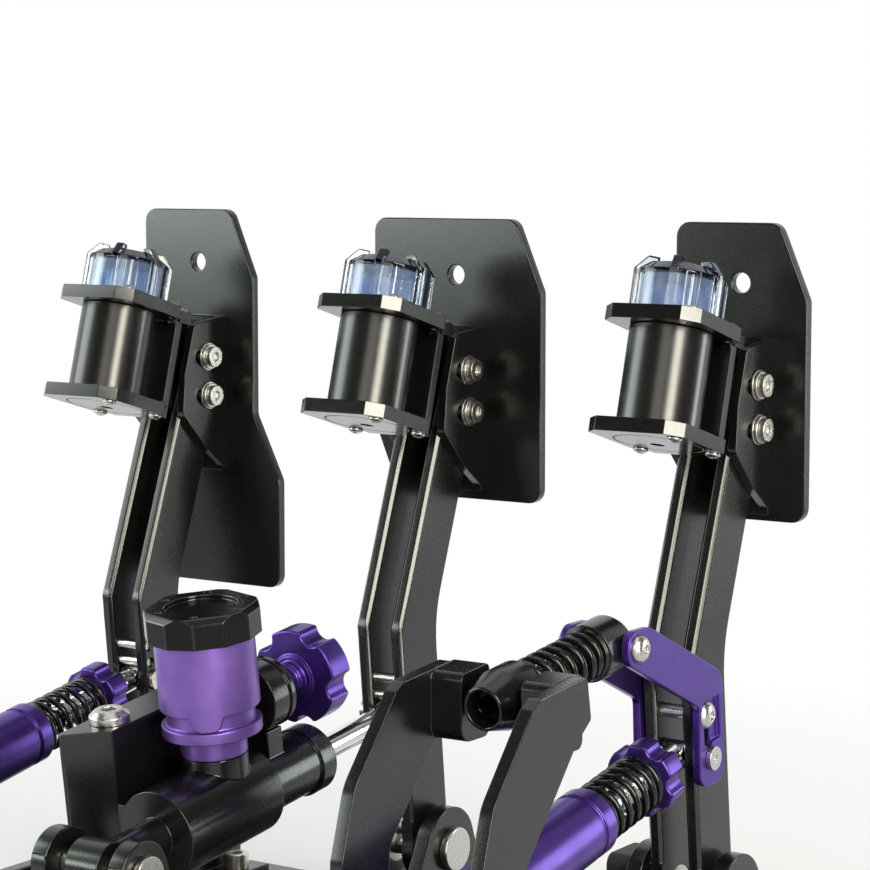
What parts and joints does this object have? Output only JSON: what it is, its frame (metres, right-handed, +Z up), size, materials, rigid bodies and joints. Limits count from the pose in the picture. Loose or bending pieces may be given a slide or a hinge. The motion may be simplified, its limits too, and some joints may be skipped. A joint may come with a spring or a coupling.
{
  "type": "sim racing pedal set",
  "caption": "Sim racing pedal set on a base plate: sprung throttle, hydraulic brake with purple reservoir, clutch with purple lever, a vibration motor on each arm",
  "frame": {"origin": "middle of the base plate's underside", "axes": "+X to the driver's right, so the throttle is at +X and the clutch at -X; +Y away from the driver, so the foot plates face -Y; +Z up"},
  "size_m": [0.324, 0.234, 0.2672],
  "materials": {
    "black_anodised": "bead-blasted black anodised aluminium",
    "purple_anodised": "satin violet anodised aluminium",
    "stainless": "stainless steel screws, washers, pins and axles",
    "rod_chrome": "hard chromed steel rod",
    "spring_black": "black coated spring steel",
    "motor_black": "gloss black motor can",
    "clear_cover": "clear moulded plastic with a cold blue tint",
    "black_plastic": "matte black moulded plastic"
  },
  "bodies": {
    "base": {"base_plate": "black_anodised", "throttle_side_plates": "black_anodised", "brake_side_plates": "black_anodised", "clutch_side_plates": "black_anodised", "clutch_towers": "black_anodised", "pivot_axles": "stainless", "cross_pins": "stainless", "base_screws": "stainless", "control_box": "black_plastic", "angle_sensors": "black_plastic"},
    "throttle_pedal": {"throttle_arm_left": "black_anodised", "throttle_arm_right": "black_anodised", "throttle_foot_plate": "black_anodised", "throttle_plate_bracket": "black_anodised", "throttle_fixings": "stainless", "throttle_motor_bracket": "black_anodised", "throttle_motor": "motor_black", "throttle_motor_cover": "clear_cover"},
    "throttle_weight": {"throttle_motor_weight": "stainless"},
    "throttle_damper_body": {"throttle_damper": "purple_anodised", "throttle_spring": "spring_black"},
    "throttle_damper_rod": {"throttle_rod": "rod_chrome"},
    "throttle_preload_knob": {"throttle_knob": "purple_anodised"},
    "brake_pedal": {"brake_arm_left": "black_anodised", "brake_arm_right": "black_anodised", "brake_foot_plate": "black_anodised", "brake_plate_bracket": "black_anodised", "brake_fixings": "stainless", "brake_motor_bracket": "black_anodised", "brake_motor": "motor_black", "brake_motor_cover": "clear_cover"},
    "brake_weight": {"brake_motor_weight": "stainless"},
    "brake_cylinder": {"master_cylinder": "black_anodised", "slave_cylinder": "black_anodised", "reservoir": "purple_anodised", "manifold": "black_anodised", "bleed_screw": "stainless", "pressure_sensor": "stainless"},
    "brake_rod": {"piston_rod": "rod_chrome"},
    "brake_star_knob": {"star_knob": "purple_anodised"},
    "brake_reservoir_cap": {"reservoir_cap": "black_anodised"},
    "clutch_pedal": {"clutch_arm_left": "black_anodised", "clutch_arm_right": "black_anodised", "clutch_foot_plate": "black_anodised", "clutch_plate_bracket": "black_anodised", "clutch_fixings": "stainless", "clutch_motor_bracket": "black_anodised", "clutch_motor": "motor_black", "clutch_motor_cover": "clear_cover", "clutch_lever_left": "purple_anodised", "clutch_lever_right": "purple_anodised"},
    "clutch_weight": {"clutch_motor_weight": "stainless"},
    "clutch_damper_body": {"clutch_damper": "purple_anodised", "clutch_spring": "spring_black"},
    "clutch_damper_rod": {"clutch_rod": "rod_chrome"},
    "clutch_preload_knob": {"clutch_knob": "purple_anodised"},
    "assist_tube_body": {"assist_tube": "black_anodised", "assist_spring": "spring_black"},
    "assist_plunger_body": {"assist_plunger": "black_anodised"}
  },
  "joints": [
    {"name": "throttle_press", "type": "hinge", "parent": "base", "child": "throttle_pedal", "pos_m": [0.1196, -0.069, 0.04], "axis": [-1, 0, 0], "range_deg": [0, 15], "stiffness_Nm_per_rad": 12, "springref_deg": -11.46},
    {"name": "brake_press", "type": "hinge", "parent": "base", "child": "brake_pedal", "pos_m": [0, -0.069, 0.04], "axis": [-1, 0, 0], "range_deg": [0, 10], "stiffness_Nm_per_rad": 150, "springref_deg": -2.86},
    {"name": "clutch_press", "type": "hinge", "parent": "base", "child": "clutch_pedal", "pos_m": [-0.1162, -0.069, 0.04], "axis": [-1, 0, 0], "range_deg": [0, 12], "stiffness_Nm_per_rad": 14, "springref_deg": -11.46},
    {"name": "throttle_damper_swing", "type": "hinge", "parent": "base", "child": "throttle_damper_body", "pos_m": [0.1196, 0.0895, 0.0619], "axis": [-1, 0, 0], "range_deg": [-0.79, 0]},
    {"name": "throttle_rod_swing", "type": "hinge", "parent": "throttle_pedal", "child": "throttle_damper_rod", "pos_m": [0.1196, -0.058, 0.0893], "axis": [-1, 0, 0], "range_deg": [-15.79, 0], "deforming": ["throttle_spring"]},
    {"name": "brake_cylinder_swing", "type": "hinge", "parent": "base", "child": "brake_cylinder", "pos_m": [0, 0.1006, 0.0684], "axis": [-1, 0, 0], "range_deg": [-0.54, 0]},
    {"name": "brake_rod_swing", "type": "hinge", "parent": "brake_pedal", "child": "brake_rod", "pos_m": [0, -0.058, 0.0893], "axis": [-1, 0, 0], "range_deg": [-10.54, 0]},
    {"name": "clutch_damper_swing", "type": "hinge", "parent": "base", "child": "clutch_damper_body", "pos_m": [-0.1162, 0.0895, 0.0619], "axis": [-1, 0, 0], "range_deg": [-0.54, 0]},
    {"name": "clutch_rod_swing", "type": "hinge", "parent": "clutch_pedal", "child": "clutch_damper_rod", "pos_m": [-0.1162, -0.058, 0.0893], "axis": [-1, 0, 0], "range_deg": [-12.54, 0], "deforming": ["clutch_spring"]},
    {"name": "assist_tube_swing", "type": "hinge", "parent": "base", "child": "assist_tube_body", "pos_m": [-0.1162, 0.0493, 0.1264], "axis": [-1, 0, 0], "range_deg": [-15.81, 0]},
    {"name": "assist_plunger_swing", "type": "hinge", "parent": "clutch_pedal", "child": "assist_plunger_body", "pos_m": [-0.1162, -0.009, 0.1334], "axis": [-1, 0, 0], "range_deg": [-27.81, 0], "deforming": ["assist_spring"]},
    {"name": "throttle_knob_turn", "type": "hinge", "parent": "throttle_damper_rod", "child": "throttle_preload_knob", "pos_m": [0.1196, -0.03667, 0.08534], "axis": [0, 0.9832, -0.1826], "continuous": true},
    {"name": "clutch_knob_turn", "type": "hinge", "parent": "clutch_damper_rod", "child": "clutch_preload_knob", "pos_m": [-0.1162, -0.03667, 0.08534], "axis": [0, 0.9832, -0.1826], "continuous": true},
    {"name": "star_knob_turn", "type": "hinge", "parent": "brake_cylinder", "child": "brake_star_knob", "pos_m": [0, -0.0053, 0.11221], "axis": [0, 0.9914, -0.1306], "continuous": true},
    {"name": "reservoir_cap_turn", "type": "hinge", "parent": "brake_cylinder", "child": "brake_reservoir_cap", "pos_m": [0, 0.04884, 0.13846], "axis": [0, 0.1306, 0.9914], "continuous": true},
    {"name": "throttle_weight_turn", "type": "hinge", "parent": "throttle_pedal", "child": "throttle_weight", "pos_m": [0.1196, -0.0533, 0.23825], "axis": [0, -0.2723, 0.9622], "continuous": true},
    {"name": "brake_weight_turn", "type": "hinge", "parent": "brake_pedal", "child": "brake_weight", "pos_m": [0, -0.0533, 0.23825], "axis": [0, -0.2723, 0.9622], "continuous": true},
    {"name": "clutch_weight_turn", "type": "hinge", "parent": "clutch_pedal", "child": "clutch_weight", "pos_m": [-0.1162, -0.0533, 0.23825], "axis": [0, -0.2723, 0.9622], "continuous": true}
  ],
  "couplings": [
    {"joint": "throttle_damper_swing", "follows": "throttle_press", "ratio": -0.052},
    {"joint": "throttle_rod_swing", "follows": "throttle_press", "ratio": -1.052},
    {"joint": "brake_cylinder_swing", "follows": "brake_press", "ratio": -0.0529},
    {"joint": "brake_rod_swing", "follows": "brake_press", "ratio": -1.0529},
    {"joint": "clutch_damper_swing", "follows": "clutch_press", "ratio": -0.0436},
    {"joint": "clutch_rod_swing", "follows": "clutch_press", "ratio": -1.0436},
    {"joint": "assist_tube_swing", "follows": "clutch_press", "ratio": -1.3166},
    {"joint": "assist_plunger_swing", "follows": "clutch_press", "ratio": -2.3166}
  ]
}
